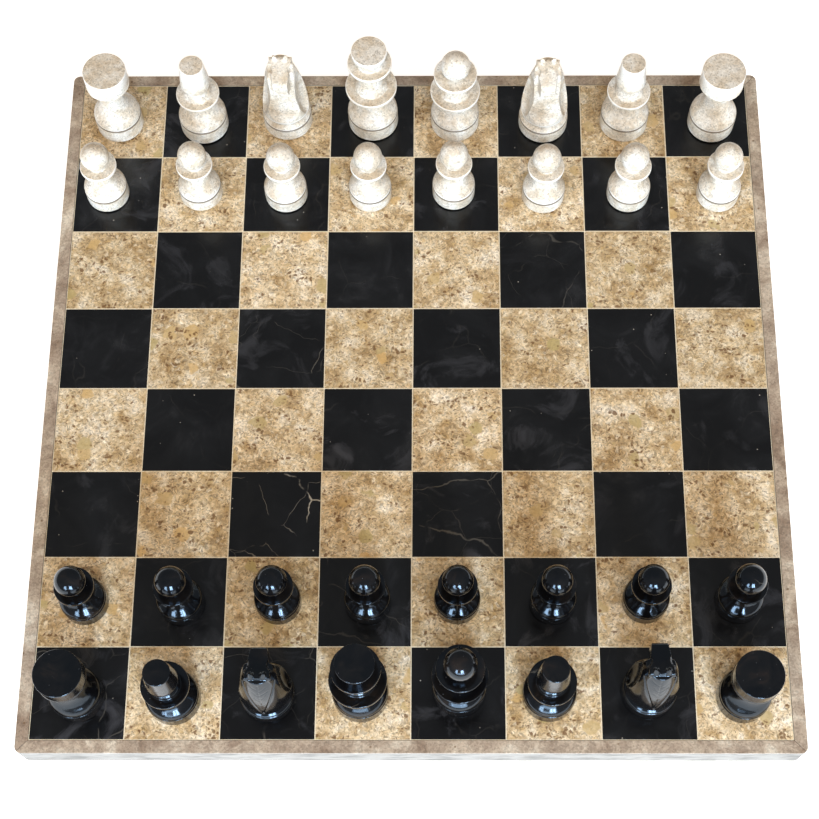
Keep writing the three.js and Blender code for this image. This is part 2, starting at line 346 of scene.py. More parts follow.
def border_stone():
    finish, tree, surface, place = new_finish("border_stone")
    block = own_block(tree, place)
    clouds = noise(tree, block, 17, 7, 0.68, 0.6)
    colour = ramp(tree, clouds, (0.36, (0.27, 0.20, 0.15)), (0.47, (0.385, 0.31, 0.245)),
                  (0.55, (0.475, 0.395, 0.315)), (0.66, (0.64, 0.58, 0.49)))
    own = cells(tree, wander(tree, block, 2.0, 1.5), 0.8)[1]
    grain = ramp(tree, own, (0.0, 0.55), (0.5, 0.95), (1.0, 1.2))
    colour = mix(tree, 0.65, colour, mix(tree, 1.0, colour, grain, "MULTIPLY"))
    distance, own = cells(tree, block, 3.4)[:2]
    pit = maths(tree, "MULTIPLY", ramp(tree, distance, (0.10, 1.0), (0.24, 0.0)),
                ramp(tree, own, (0.86, 0.0), (0.88, 1.0)))
    colour = mix(tree, maths(tree, "MULTIPLY", pit, 0.8), colour, PIT_BROWN)
    tree.links.new(colour, surface.inputs["Base Color"])
    tree.links.new(maths(tree, "ADD", maths(tree, "MULTIPLY", clouds, 0.2), 0.34),
                   surface.inputs["Roughness"])
    relief(tree, surface, maths(tree, "SUBTRACT", grain, maths(tree, "MULTIPLY", pit, 4.0)), 0.05, 0.35)
    return finish


def border_edge():
    """The strips' upright faces: slow smears, and scratches drawn out along the strip."""
    finish, tree, surface, place = new_finish("border_edge_stone")
    block = own_block(tree, place)
    clouds = noise(tree, stretch(tree, block, (1.0, 1.0, 3.0)), 16, 6, 0.65)
    colour = ramp(tree, clouds, (0.38, (0.10, 0.096, 0.09)), (0.46, (0.19, 0.18, 0.167)),
                  (0.55, (0.28, 0.265, 0.245)))
    scratches = noise(tree, stretch(tree, block, (0.2, 0.2, 2.0)), 1.2, 4)
    scratched = ramp(tree, scratches, (0.35, (0.14, 0.133, 0.123)), (0.6, (0.30, 0.285, 0.262)))
    colour = mix(tree, 0.35, colour, scratched)
    tree.links.new(colour, surface.inputs["Base Color"])
    surface.inputs["Roughness"].default_value = 0.75
    relief(tree, surface, scratches, 0.05, 0.4)
    return finish


BORDER, EDGE = border_stone(), border_edge()
print("finishes:", BORDER.name, EDGE.name)

# %% [markdown]
# ## Black stone, for the dark tiles
#
# Black limestone is nearly flat black, and its life is in what breaks it: faint grey clouds, hair-thin
# white veins and a few white specks. A vein is a healed crack. Cracks in stone meet at angles like the
# walls of wide cells, so the distance to the nearest wall, with only its smallest part kept, draws them.
# A slow noise fades them in and out. Each tile says how strongly its veins and clouds show, because on
# a real board most tiles have hardly any.

# %% Mix the black tile stone
VEIN_WHITE = (0.50, 0.47, 0.41)
SPECK_WHITE = (0.5, 0.48, 0.44)
SMOKE_GREY = (0.040, 0.042, 0.050)


def vein(tree, where, size, thickness):
    """A jagged line where two cells, about size millimetres wide, meet; thickness in millimetres."""
    bent = wander(tree, wander(tree, where, size * 0.5, size * 0.35), 4.0, 1.6)
    made = put(tree, "ShaderNodeTexVoronoi", {"Vector": bent, "Scale": 1 / (size * MM)},
               feature="DISTANCE_TO_EDGE")
    return ramp(tree, made.outputs["Distance"], (0.0, 1.0), (thickness / size, 0.0))


def black_tile_stone():
    finish, tree, surface, place = new_finish("black_tile_stone")
    block = own_block(tree, place)
    strength = from_mesh(tree, "veined")
    clouds = noise(tree, block, 30, 7, 0.6, 0.8)
    colour = ramp(tree, clouds, (0.42, (0.0026, 0.0026, 0.0032)), (0.60, (0.0062, 0.0066, 0.0078)),
                  (0.74, (0.020, 0.021, 0.024)))
    main = vein(tree, block, 47, 0.36)
    fine = vein(tree, block, 29, 0.22)
    gate = ramp(tree, noise(tree, block, 17, 3), (0.45, 0.0), (0.55, 1.0))
    lines = maths(tree, "MULTIPLY", maths(tree, "MAXIMUM", main, maths(tree, "MULTIPLY", fine, 0.35)), gate)
    lines = maths(tree, "MULTIPLY", lines, strength)
    colour = mix(tree, lines, colour, VEIN_WHITE)
    smoke = ramp(tree, noise(tree, block, 26, 6, 0.6, 1.2), (0.55, 0.0), (0.70, 1.0))
    colour = mix(tree, maths(tree, "MULTIPLY", smoke, from_mesh(tree, "smoky")), colour, SMOKE_GREY)
    distance, own = cells(tree, block, 3.2)[:2]
    speck = maths(tree, "MULTIPLY", ramp(tree, distance, (0.05, 1.0), (0.13, 0.0)),
                  ramp(tree, own, (0.955, 0.0), (0.96, 1.0)))
    colour = mix(tree, maths(tree, "MULTIPLY", speck, 0.7), colour, SPECK_WHITE)
    tree.links.new(colour, surface.inputs["Base Color"])
    rough = maths(tree, "ADD", maths(tree, "MULTIPLY", noise(tree, block, 7, 5), 0.16), 0.14)
    tree.links.new(rough, surface.inputs["Roughness"])
    relief(tree, surface, noise(tree, block, 2.5, 5), 0.02, 0.15)
    return finish


BLACK_TILE = black_tile_stone()
print("finish:", BLACK_TILE.name)

# %% [markdown]
# ## The men's stone
#
# White's men are turned from a pale fossil stone: cream, salted with beige and grey crystals no wider
# than a millimetre. Their rims are painted pale as a painted highlight, and the groove over the foot is
# painted dark as painted shade, so each man's mesh says where its rims and its groove are. Black's men
# are the tile's black taken to a high polish that mirrors a little bluer than the light. Both stones keep
# the faint rings of the lathe. Both read plain object coordinates, because each man stands in another place.

# %% Mix the cream stone
FLECK_BROWN = (0.30, 0.235, 0.15)
# A painted highlight: the pale line that light draws along each rim.
RIM_HIGHLIGHT = (0.92, 0.91, 0.88)
# Painted shade: the dark of the groove over the foot and under a knight's bell.
GROOVE_SHADE = (0.17, 0.14, 0.105)


def turning_marks(tree, place):
    """Fine rings left by the lathe: noise squeezed flat, so that it changes with height alone."""
    return noise(tree, stretch(tree, place, (0.03, 0.03, 1.0)), 0.9, 4, 0.6)


def cream_stone():
    finish, tree, surface, place = new_finish("cream_stone")
    clouds = noise(tree, place, 8, 6, 0.65)
    colour = ramp(tree, clouds, (0.36, (0.57, 0.485, 0.375)), (0.48, (0.655, 0.595, 0.505)),
                  (0.60, (0.74, 0.715, 0.665)))
    own = cells(tree, wander(tree, place, 1.6, 1.2), 0.7)[1]
    grain = ramp(tree, own, (0.0, 0.52), (0.25, 0.88), (0.75, 1.05), (1.0, 1.25))
    colour = mix(tree, 0.75, colour, mix(tree, 1.0, colour, grain, "MULTIPLY"))
    distance, own = cells(tree, place, 1.9)[:2]
    fleck = maths(tree, "MULTIPLY", ramp(tree, distance, (0.10, 1.0), (0.32, 0.0)),
                  ramp(tree, own, (0.82, 0.0), (0.86, 1.0)))
    colour = mix(tree, maths(tree, "MULTIPLY", fleck, 0.6), colour, FLECK_BROWN)
    # Painted highlight along the rims.
    colour = mix(tree, maths(tree, "MULTIPLY", from_mesh(tree, "rim"), 0.8), colour, RIM_HIGHLIGHT)
    # Painted shade in the groove, and under the knight's bell.
    colour = mix(tree, maths(tree, "MULTIPLY", from_mesh(tree, "groove"), 0.9), colour, GROOVE_SHADE)
    tree.links.new(colour, surface.inputs["Base Color"])
    tree.links.new(maths(tree, "ADD", maths(tree, "MULTIPLY", clouds, 0.3), 0.22),
                   surface.inputs["Roughness"])
    marks = maths(tree, "ADD", maths(tree, "SUBTRACT", grain, fleck), turning_marks(tree, place))
    relief(tree, surface, marks, 0.03, 0.3)
    return finish


CREAM = cream_stone()
print("finish:", CREAM.name)

# %% Mix the polished black stone
HAIR_BROWN = (0.20, 0.18, 0.15)
GLINT_GREY = (0.22, 0.23, 0.26)
BLUE_SHEEN = (0.62, 0.80, 1.0, 1.0)
STONE_IOR = 1.5


def polished_black():
    finish, tree, surface, place = new_finish("polished_black_stone")
    clouds = noise(tree, place, 12, 6, 0.6, 0.6)
    colour = ramp(tree, clouds, (0.40, (0.0030, 0.0030, 0.0036)), (0.58, (0.0070, 0.0064, 0.0064)),
                  (0.74, (0.020, 0.014, 0.011)))
    hair = maths(tree, "MULTIPLY", vein(tree, place, 23, 0.25),
                 ramp(tree, noise(tree, place, 16, 2), (0.62, 0.0), (0.68, 1.0)))
    colour = mix(tree, maths(tree, "MULTIPLY", hair, 0.4), colour, HAIR_BROWN)
    distance, own = cells(tree, place, 1.3)[:2]
    glint = maths(tree, "MULTIPLY", ramp(tree, distance, (0.06, 1.0), (0.16, 0.0)),
                  ramp(tree, own, (0.93, 0.0), (0.94, 1.0)))
    colour = mix(tree, maths(tree, "MULTIPLY", glint, 0.5), colour, GLINT_GREY)
    tree.links.new(colour, surface.inputs["Base Color"])
    rough = maths(tree, "ADD", maths(tree, "MULTIPLY", noise(tree, place, 2.2, 6, 0.7), 0.18), 0.02)
    tree.links.new(rough, surface.inputs["Roughness"])
    surface.inputs["IOR"].default_value = STONE_IOR
    surface.inputs["Specular Tint"].default_value = BLUE_SHEEN
    worked = maths(tree, "ADD", noise(tree, place, 1.4, 4),
                   maths(tree, "MULTIPLY", noise(tree, place, 5, 2), 2.0))
    relief(tree, surface, maths(tree, "ADD", worked, turning_marks(tree, place)), 0.06, 0.4)
    return finish


BLACK = polished_black()
print("finish:", BLACK.name)

# %% [markdown]
# ## Mortar, backing and felt
#
# Three quiet finishes. The mortar is cream and sandy. The backing slab is sawn, so fine straight saw
# lines cross it. The felt is pressed wool: a dense fuzz, drawn as noise stretched into short fibres.

# %% Mix the mortar, the sawn stone and the felt
def mortar():
    finish, tree, surface, place = new_finish("mortar")
    grain = noise(tree, place, 0.9, 5, 0.7)
    colour = ramp(tree, grain, (0.30, (0.62, 0.52, 0.37)), (0.55, (0.82, 0.74, 0.58)),
                  (0.8, (0.90, 0.84, 0.70)))
    tree.links.new(colour, surface.inputs["Base Color"])
    surface.inputs["Roughness"].default_value = 0.85
    relief(tree, surface, grain, 0.08, 0.5)
    return finish


def sawn_stone():
    finish, tree, surface, place = new_finish("sawn_stone")
    clouds = noise(tree, place, 30, 6, 0.6)
    colour = ramp(tree, clouds, (0.3, (0.27, 0.23, 0.175)), (0.7, (0.44, 0.39, 0.31)))
    kerf = put(tree, "ShaderNodeTexWave", {"Vector": place, "Scale": 90.0, "Distortion": 1.5, "Detail": 3.0},
               bands_direction="X")
    colour = mix(tree, maths(tree, "MULTIPLY", kerf.outputs["Fac"], 0.25), colour, (0.24, 0.21, 0.165))
    tree.links.new(colour, surface.inputs["Base Color"])
    surface.inputs["Roughness"].default_value = 0.8
    relief(tree, surface, kerf.outputs["Fac"], 0.1, 0.5)
    return finish


def green_felt():
    finish, tree, surface, place = new_finish("green_felt")
    fibres = noise(tree, stretch(tree, place, (1.0, 3.0, 1.0)), 0.7, 6, 0.75, 1.5)
    blotch = noise(tree, place, 6, 3)
    colour = ramp(tree, fibres, (0.35, (0.008, 0.026, 0.014)), (0.65, (0.026, 0.075, 0.042)))
    colour = mix(tree, maths(tree, "MULTIPLY", blotch, 0.3), colour, (0.035, 0.07, 0.04))
    tree.links.new(colour, surface.inputs["Base Color"])
    surface.inputs["Roughness"].default_value = 0.95
    surface.inputs["Sheen Weight"].default_value = 0.4
    surface.inputs["Sheen Roughness"].default_value = 0.5
    relief(tree, surface, fibres, 0.15, 0.6)
    return finish


MORTAR, SAWN, FELT = mortar(), sawn_stone(), green_felt()
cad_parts["backing_slab"].data.materials.clear()
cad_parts["backing_slab"].data.materials.append(SAWN)
print("finishes:", MORTAR.name, SAWN.name, FELT.name)

# %% [markdown]
# ## The tiles
#
# On the real board sixty-four small squares of stone are bedded one by one, so they differ: each was
# sawn from another part of the block, and none stands exactly as high as its neighbour. One big slab
# with a painted chequer would lose the joints and the tiny bevels that catch the light. Each tile
# is its own block, up to a hair lower than the design's, with its top edges broken.

# %% Lay sixty-four tiles
hand = random.Random(64)
SEEN_JOINT = 0.55 * MM
EDGE_BREAK = 0.22 * MM
UNEVEN = 0.03 * MM
VEINED = {"f6": 0.9, "f4": 0.2, "d6": 0.16, "c3": 0.12, "h8": 0.13, "e7": 0.06, "f8": 0.09}
QUIET_VEIN = 0.025


def square_name(column, row):
    return "hgfedcba"[column] + str(8 - row)


def run_of(column, row):
    """The design's diagonal run of tiles that this square belongs to."""
    start = column - row
    first = (max(start, 0), max(-start, 0))
    last = (first[0] + 7 - abs(start), first[1] + 7 - abs(start))
    colour = "dark" if start % 2 == 0 else "light"
    return f"{colour}_tiles_{square_name(*first)}_{square_name(*last)}"


def same_everywhere(mesh, name, value):
    """Gives every vertex the same value, for the finish to read."""
    kind = "FLOAT_VECTOR" if isinstance(value, tuple) else "FLOAT"
    layer = mesh.attributes.new(name, kind, "POINT")
    flat = list(value) if kind == "FLOAT_VECTOR" else [value]
    layer.data.foreach_set("vector" if kind == "FLOAT_VECTOR" else "value", flat * len(mesh.vertices))


def another_block():
    return tuple(hand.uniform(-3, 3) for axis in range(3))


def lay_tile(column, row):
    side = PITCH - SEEN_JOINT
    height = TILE_THICK - UNEVEN * hand.random()
    shape = bmesh.new()
    bmesh.ops.create_cube(shape, size=1)
    bmesh.ops.scale(shape, vec=(side, side, height), verts=shape.verts)
    top = [edge for edge in shape.edges if all(v.co.z > 0 for v in edge.verts)]
    round_edges(shape, top, EDGE_BREAK, 2)
    middle = ((column - 3.5) * PITCH, (row - 3.5) * PITCH, BOARD_TOP - TILE_THICK + height / 2)
    bmesh.ops.translate(shape, vec=middle, verts=shape.verts)
    dark = (column - row) % 2 == 0
    square = square_name(column, row)
    tile = finish_piece(shape, "tile_" + square, BLACK_TILE if dark else CORAL,
                        "board", [run_of(column, row)])
    same_everywhere(tile.data, "sawn_from", another_block())
    same_everywhere(tile.data, "tone", hand.random())
    same_everywhere(tile.data, "veined", VEINED.get(square, QUIET_VEIN))
    same_everywhere(tile.data, "smoky", hand.random())
    return tile


tiles = [lay_tile(column, row) for row in range(8) for column in range(8)]
print("tiles:", len(tiles))

# %% [markdown]
# ## The mortar bed
#
# The tiles stand in a bed of mortar that also fills the joints between them. It can be made as one
# tray: a block cut into eight by eight, each square drawn in a little to leave a wall between
# pockets, and the pockets sunk. The walls stop just under the stone, so the joints read as fine lines.

# %% Cast the mortar tray
CLEAR = 0.03 * MM
BED_TOP = BOARD_TOP - 0.07 * MM
POCKET_FLOOR = BOARD_TOP - TILE_THICK - CLEAR
BED_FLOOR = SLAB_TOP + CLEAR

shape = bmesh.new()
bmesh.ops.create_grid(shape, x_segments=8, y_segments=8, size=FIELD / 2)
bmesh.ops.translate(shape, vec=(0, 0, BED_FLOOR), verts=shape.verts)
raised = bmesh.ops.extrude_face_region(shape, geom=shape.faces[:], use_keep_orig=True)["geom"]
top_faces = [item for item in raised if isinstance(item, bmesh.types.BMFace)]
top_verts = [item for item in raised if isinstance(item, bmesh.types.BMVert)]
bmesh.ops.translate(shape, vec=(0, 0, BED_TOP - BED_FLOOR), verts=top_verts)
bmesh.ops.inset_individual(shape, faces=top_faces, thickness=SEEN_JOINT / 2 - CLEAR, use_even_offset=True)
pockets = bmesh.ops.extrude_discrete_faces(shape, faces=top_faces)["faces"]
sunk = [vert for face in pockets for vert in face.verts]
bmesh.ops.translate(shape, vec=(0, 0, POCKET_FLOOR - BED_TOP), verts=sunk)
face_outwards(shape)
print("mortar faces:", len(shape.faces), "open edges:", sum(not e.is_manifold for e in shape.edges))
finish_piece(shape, "mortar_bed", MORTAR, "board", smooth=False)

# %% [markdown]
# ## The border
#
# Four strips frame the board, cut at forty-five degrees where they meet. Each starts as a straight
# bar with rounded outer ends. Cutting the bar with a plane and capping the cut is what a saw does, and it
# keeps the rounded corner whole, half on each strip. Its long edges are then broken like the tiles'.

# %% Cut and mitre the border
CORNER_ROUND = 3.5 * MM
MITRE_GAP = 0.12 * MM
OUTER_BREAK = 0.7 * MM


def cut(shape, point, normal):
    """Saws the shape with a plane, throws away what is in front of it and closes the cut."""
    made = bmesh.ops.bisect_plane(shape, geom=shape.verts[:] + shape.edges[:] + shape.faces[:], dist=1e-7,
                                  plane_co=point, plane_no=normal, clear_outer=True)
    rim = [item for item in made["geom_cut"] if isinstance(item, bmesh.types.BMEdge)]
    bmesh.ops.edgeloop_fill(shape, edges=rim)


def border_strip(name, turn):
    inner = FIELD / 2 + SEEN_JOINT / 2
    width = HALF_BOARD - inner
    low, high = border_low.z, border_high.z
    shape = bmesh.new()
    bmesh.ops.create_cube(shape, size=1)
    bmesh.ops.scale(shape, vec=(2 * HALF_BOARD, width, high - low), verts=shape.verts)
    bmesh.ops.translate(shape, vec=(0, -inner - width / 2, (low + high) / 2), verts=shape.verts)
    outside = -inner - width / 2
    upright = [edge for edge in shape.edges if all(v.co.y < outside for v in edge.verts)
               and edge.calc_length() < 2 * (high - low)]
    upright = [edge for edge in upright if abs(edge.verts[0].co.x - edge.verts[1].co.x) < CLEAR]
    round_edges(shape, upright, CORNER_ROUND, 8)
    face_outwards(shape)
    rim = [edge for edge in shape.edges if all(v.co.z > high - CLEAR for v in edge.verts)
           and not all(v.co.y > outside for v in edge.verts)]
    round_edges(shape, rim, OUTER_BREAK, 3)
    for side in (-1, 1):
        cut(shape, (0, -MITRE_GAP, 0), (side, 1, 0))
    face_outwards(shape)
    for face in shape.faces:
        face.material_index = 0 if face.normal.z > 0.3 else 1
    bmesh.ops.rotate(shape, cent=(0, 0, 0), matrix=Matrix.Rotation(turn, 3, "Z"), verts=shape.verts)
    strip = finish_piece(shape, name + "_strip", BORDER, "board", [name])
    strip.data.materials.append(EDGE)
    same_everywhere(strip.data, "sawn_from", another_block())
    return strip


strips = [border_strip(name, quarter * math.pi / 2)
          for quarter, name in enumerate(("border_near", "border_right", "border_far", "border_left"))]
print("border strips:", len(strips))

# %% [markdown]
# ## Felt feet for the board
#
# Four punched discs of felt keep the slab off the table. A disc is a short cylinder, but felt has no
# sharp edge: its rims are rounded over nearly the whole thickness, and its middle swells a little.

# %% Punch the board's felt pads
def felt_disc(name, node, body, middle, radius, low, high):
    shape = bmesh.new()
    bmesh.ops.create_cone(shape, cap_ends=True, segments=64, radius1=radius, radius2=radius, depth=high - low)
    bmesh.ops.translate(shape, vec=(*middle, (low + high) / 2), verts=shape.verts)
    rims = [edge for edge in shape.edges if abs(edge.verts[0].co.z - edge.verts[1].co.z) < MM / 10]
    round_edges(shape, rims, (high - low) * 0.35, 3)
    return finish_piece(shape, name, FELT, body, [node] if node else ())


for node in ("pad_near_left", "pad_near_right", "pad_far_left", "pad_far_right"):
    low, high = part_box(node)
    middle = ((low.x + high.x) / 2, (low.y + high.y) / 2)
    felt_disc(node + "_felt", node, "board", middle, (high.x - low.x) / 2, low.z, high.z)
print("pads: 4")

# %% [markdown]
# ## Turning a man
#
# A man is turned from a stick of stone, so half of its outline says everything. The outline is a chain
# of points, radius and height in millimetres, each with the rounding that the turner's tool leaves at
# that corner. Rounding the corners of the chain first and spinning it afterwards gives clean rings.
# A subdivision surface could round it too, but it would soften every edge by the same amount.

# %% Draw and spin an outline
FELT_THICK = 0.7
TURNS = 96


def curve(start, first, second, end, steps=10):
    """Points along a smooth sweep that leaves start towards first and arrives at end from second."""
    points = []
    for step in range(1, steps + 1):
        t = step / steps
        s = 1 - t
        weights = (s ** 3, 3 * s * s * t, 3 * s * t * t, t ** 3)
        points.append(tuple(sum(w * p[axis] for w, p in zip(weights, (start, first, second, end)))
                            for axis in range(2)) + (0,))
    return points


def spin_outline(outline):
    shape = bmesh.new()
    corners = [shape.verts.new((radius * MM, 0, height * MM)) for radius, height, rounding in outline]
    for pair in zip(corners, corners[1:]):
        shape.edges.new(pair)
    for corner, (radius, height, rounding) in zip(corners, outline):
        if rounding:
            bmesh.ops.bevel(shape, geom=[corner], offset=rounding * MM, offset_type="OFFSET", segments=4,
                            profile=0.5, affect="VERTICES", material=-1, clamp_overlap=False)
    bmesh.ops.spin(shape, geom=shape.verts[:] + shape.edges[:], cent=(0, 0, 0), axis=(0, 0, 1),
                   angle=2 * math.pi, steps=TURNS, use_merge=True, use_duplicate=False)
    bmesh.ops.remove_doubles(shape, verts=shape.verts, dist=1e-6)
    face_outwards(shape)
    return shape

# %% [markdown]
# Every man shares three turned forms: the upright foot with a groove cut above it and a shoulder that
# sweeps into the neck, the thin collar that flares out under its rim, and the ball on top. Writing
# those once keeps the set a family.

# %% The forms that the men share
GROOVE = 1.4


def foot(radius, drum_top, neck, neck_height):
    rise = neck_height - drum_top
    ledge = (radius - 0.1, drum_top)
    return [
        (0, FELT_THICK, 0), (radius, FELT_THICK, 0.5), (radius, drum_top - GROOVE, 0.15),
        (radius - 0.8 * GROOVE, drum_top - GROOVE / 2, 0.1), (*ledge, 0.2),
        *curve(ledge, (radius - 0.2, drum_top + 0.33 * rise), (neck + 1.5, drum_top + 0.25 * rise),
               (neck, neck_height), 16),
    ]


def collar(neck, neck_height, rim, low, high, above):
    return [
        *curve((neck, neck_height), (neck, low - 1.2), (neck + 0.35 * (rim - neck), low - 0.6),
               (rim - 0.8, low - 0.1), 8),
        (rim, low + 0.1, 0.35), (rim, high, 0.45), (above, high - 0.3, 0.6),
    ]


def ball(radius, centre, seat_radius):
    start = -math.acos(seat_radius / radius)
    angles = [start + (math.pi / 2 - start) * step / 20 for step in range(20)]
    arc = [(radius * math.cos(a), centre + radius * math.sin(a), 0) for a in angles]
    return arc + [(0, centre + radius, 0)]

# %% [markdown]
# With those, each man is a short list. The pawn is a ball on a collar, the rook a cup with a lip, the
# bishop a clipped mitre on a collar, the queen a ball over two collars, and the king a flared drum over
# two collars.

# %% The outlines of the turned men
def pawn_outline():
    return foot(11.4, 9.8, 4.8, 22) + collar(4.8, 24, 9.6, 28, 30.1, 4.6) + ball(7.5, 38, 4.6)


def rook_outline():
    top = 49
    return [
        *foot(12.7, 11, 6.3, 27),
        *curve((6.3, 29), (6.3, 35.2), (8.0, 37.4), (11.2, 38.1)),
        (11.6, 38.3, 0.3), (11.6, 39.3, 0.3), (11.35, 39.7, 0), (11.4, top, 0.6), (0, top, 0),
    ]


def bishop_outline():
    top = 55
    return [
        *foot(13, 11, 5.7, 25), *collar(5.7, 25.8, 11.5, 28.6, 30.6, 7.3),
        (7.1, 31.7, 0.5), *curve((6.3, 32.4), (5.1, 33.2), (4.9, 35.4), (6.6, 37.2), 6),
        *curve((6.6, 37.2), (7.6, 38.2), (8.1, 39.6), (7.75, 42)), (6.35, top, 0.5), (0, top, 0),
    ]


def queen_outline():
    return [
        *foot(13.1, 11, 6.3, 25), *collar(6.3, 25.8, 13.3, 28.8, 31, 8.2),
        (8.0, 32.0, 0.5), *curve((7.2, 32.8), (5.6, 33.6), (5.3, 36), (5.2, 39), 8),
        *collar(5.2, 40.2, 11.4, 43.4, 45.4, 4.1), *ball(7.8, 52.5, 3.5),
    ]


def king_outline():
    top = 64
    return [
        *foot(13.6, 11, 6.5, 27), *collar(6.5, 27.8, 13.7, 31.4, 33.8, 8.6),
        (8.4, 34.9, 0.5), *curve((7.5, 35.8), (5.8, 36.8), (5.5, 40), (5.4, 44), 8),
        *collar(5.4, 48.4, 11.6, 52.2, 54.2, 6.8),
        *curve((6.5, 54.6), (6.6, 57.4), (8.7, 58.6), (9.15, 61.5)), (9.3, top, 0.5), (0, top, 0),
    ]


OUTLINES = {
    "pawn": pawn_outline(), "rook": rook_outline(), "bishop": bishop_outline(), "queen": queen_outline(),
    "king": king_outline(),
}
for kind, outline in OUTLINES.items():
    print(kind, "outline points:", len(outline), "height:", max(height for _, height, _ in outline))

# %% [markdown]
# ## Carving a knight
#
# The knight starts on the lathe too, as a bell on a foot. Then it leaves the lathe: the front is ground
# away to a chest, a horse's head is cut from a bar, a hollow is ground into each flank, and the ears,
# eyes, nostrils and mouth are carved. Pushing the faces of one mesh by hand could do it, but the cuts
# cross each other. Solid cuts followed by a fine remesh give the slightly melted edges of hand-polished
# stone.

# %% Cut bars and balls for the knight
def outlined_bar(points, width, nose_width=None):
    """A bar along X from an outline of (forward, height) points, narrowed towards the nose if asked."""
    shape = bmesh.new()
    corners = [shape.verts.new((-width / 2 * MM, y * MM, z * MM)) for y, z in points]
    face = shape.faces.new(corners)
    moved = bmesh.ops.extrude_face_region(shape, geom=[face], use_keep_orig=True)["geom"]
    far_end = [item for item in moved if isinstance(item, bmesh.types.BMVert)]
    bmesh.ops.translate(shape, vec=(width * MM, 0, 0), verts=far_end)
    if nose_width:
        back, nose = max(y for y, z in points), min(y for y, z in points)
        for vert in shape.verts:
            share = (back - vert.co.y / MM) / (back - nose)
            vert.co.x *= 1 - share * (1 - nose_width / width)
    face_outwards(shape)
    return shape


def stretched_ball(radii, centre):
    shape = bmesh.new()
    bmesh.ops.create_uvsphere(shape, u_segments=48, v_segments=32, radius=1)
    bmesh.ops.scale(shape, vec=[r * MM for r in radii], verts=shape.verts)
    bmesh.ops.translate(shape, vec=[c * MM for c in centre], verts=shape.verts)
    return shape


def loose_object(shape, name):
    mesh = bpy.data.meshes.new(name)
    shape.to_mesh(mesh)
    shape.free()
    made = bpy.data.objects.new(name, mesh)
    bpy.context.scene.collection.objects.link(made)
    return made


def carve_solid(blank, steps, grain):
    """Applies (operation, tool) steps to the blank, then remeshes it with voxels of the given size."""
    for operation, tool in steps:
        change = blank.modifiers.new(tool.name, "BOOLEAN")
        change.operation, change.solver, change.object = operation, "EXACT", tool
    fine = blank.modifiers.new("fine mesh", "REMESH")
    fine.mode, fine.voxel_size = "VOXEL", grain * MM
    polish = blank.modifiers.new("polish", "SMOOTH")
    polish.factor, polish.iterations = 0.5, 4
    bpy.context.view_layer.update()
    mesh = bpy.data.meshes.new_from_object(blank.evaluated_get(bpy.context.evaluated_depsgraph_get()))
    for tool in [blank] + [tool for operation, tool in steps]:
        bpy.data.objects.remove(tool)
    return mesh

# %% Rough out the knight
RIM = 12.6
CROWN = 52
VOXEL = 0.36
BELL = ((RIM, 16), (12.7, 28), (10.3, 40), (6.4, CROWN))


def bell_outline():
    ledge = (13.2, 9.7)
    return [
        (0, FELT_THICK, 0), (13.3, FELT_THICK, 0.5), (13.3, 8.3, 0.15), (12.25, 9.0, 0.1), (*ledge, 0.2),
        *curve(ledge, (12.9, 10.9), (11.6, 11.4), (10.6, 12.2), 8), (10.4, 13.2, 0.2),
        (RIM - 0.1, 14.9, 0.25), (RIM, 16, 0), *curve(*BELL, 14), (0, CROWN, 0),
    ]


def rough_knight():
    blank = loose_object(spin_outline(bell_outline()), "bell")
    reach = 15
    chest = outlined_bar([(reach, 0), (reach, CROWN + 2), (-3, CROWN + 2), (-5.6, 40), (-7.2, 33), (-8.8, 25),
                          (-9.9, 20.5), (-12.4, 16.6), (-reach, 15.6), (-reach, 0)], 2 * reach)
    head = outlined_bar([(4.6, 45), (4.8, 51.5), (4.0, 53.3), (2.0, 53.4), (-2, 52.4), (-10.4, 50.2),
                         (-11.6, 49.2), (-11.9, 45), (-11.5, 41.6), (-10.2, 39.6), (-8.2, 39.0), (-6.2, 38.4),
                         (-3, 34)], 12.4, 7.6)
    steps = [("INTERSECT", loose_object(chest, "chest")), ("UNION", loose_object(head, "head"))]
    for side in (-1, 1):
        ear = bmesh.new()
        bmesh.ops.create_cone(ear, cap_ends=True, segments=24, radius1=2.4 * MM, radius2=0.5 * MM,
                              depth=4.6 * MM)
        bmesh.ops.rotate(ear, cent=(0, 0, 0), matrix=Matrix.Rotation(side * 0.16, 3, "Y"), verts=ear.verts)
        bmesh.ops.translate(ear, vec=(side * 3.0 * MM, 2.5 * MM, 54.0 * MM), verts=ear.verts)
        steps.append(("UNION", loose_object(ear, "ear")))
        hollows = {
            "flank": ((6.5, 9.6, 21), (side * 13.2, -4.4, 36)),
            "eye": ((2.6, 3.6, 2.4), (side * 6.6, -3.2, 52.2)),
            "ear_hollow": ((0.9, 1.6, 2.2), (side * 2.5, 0.9, 55.6)),
            "nostril": ((0.8, 0.7, 0.9), (side * 2.3, -12.0, 44.6)),
        }
        for name, (radii, centre) in hollows.items():
            steps.append(("DIFFERENCE", loose_object(stretched_ball(radii, centre), name)))
    mouth = stretched_ball((6, 2.2, 0.5), (0, -11.6, 42.6))
    steps.append(("DIFFERENCE", loose_object(mouth, "mouth")))
    return carve_solid(blank, steps, VOXEL)


knight_mesh = rough_knight()
print("knight:", len(knight_mesh.vertices), "vertices")

# %% [markdown]
# The last cuts are lines: one down each side of the neck, and the strokes of the mane. A line can be
# engraved by moving the vertices near it a little way into the stone, deepest along its middle. It is
# a sculptor's stroke written as code.

